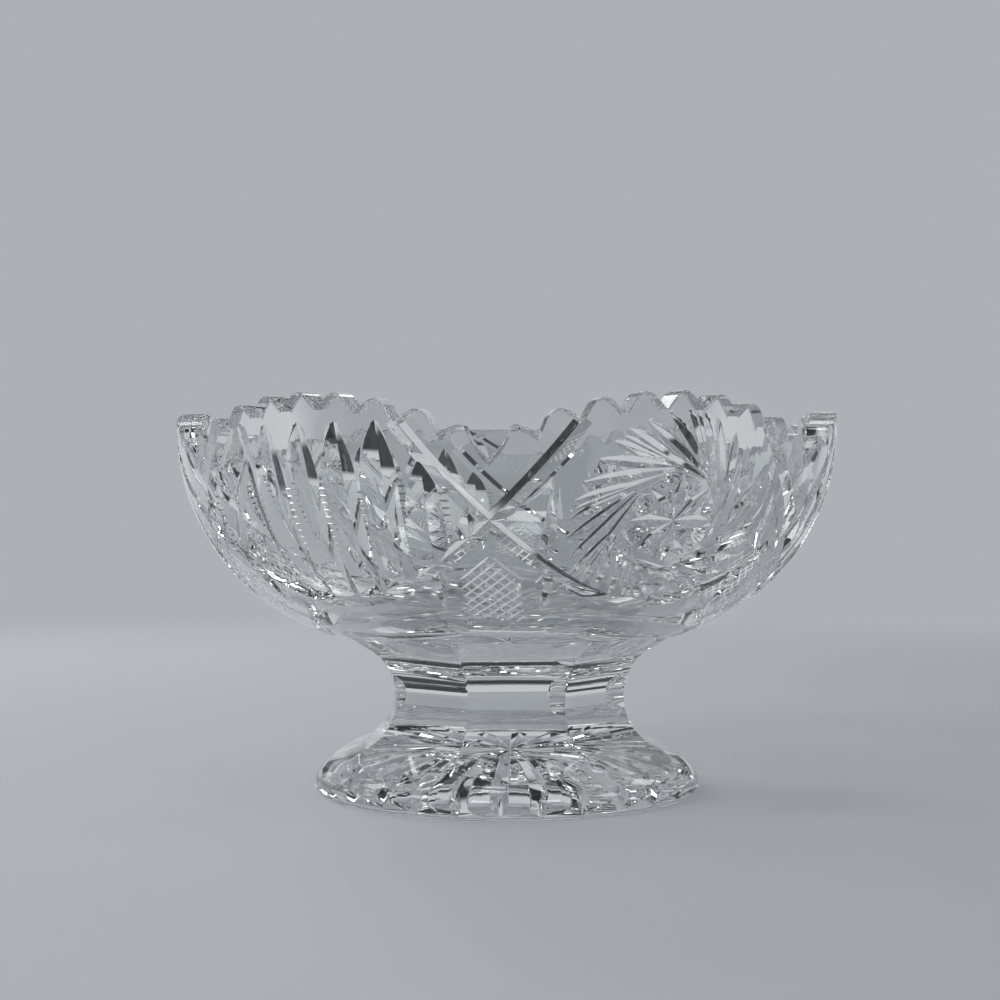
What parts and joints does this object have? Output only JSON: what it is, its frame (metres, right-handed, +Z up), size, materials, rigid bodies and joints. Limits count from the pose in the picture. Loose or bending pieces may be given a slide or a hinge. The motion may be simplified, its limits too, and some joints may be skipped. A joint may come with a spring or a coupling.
{
  "type": "footed cut glass bowl",
  "caption": "Heavy clear cut glass bowl on a waisted eight-sided stem and round foot, with a notched scalloped rim and panels of prisms and pinwheels.",
  "frame": {"origin": "on the table, under the middle of the foot", "axes": "+Z up along the axis of the bowl, -Y towards the crossing of two panel mitres at the front, +X to the right"},
  "size_m": [0.2032, 0.2022, 0.1166],
  "materials": {
    "crystal": "clear colourless lead glass, cut and polished"
  },
  "bodies": {
    "root": {"bowl": "crystal", "stem": "crystal", "foot": "crystal"}
  },
  "joints": []
}
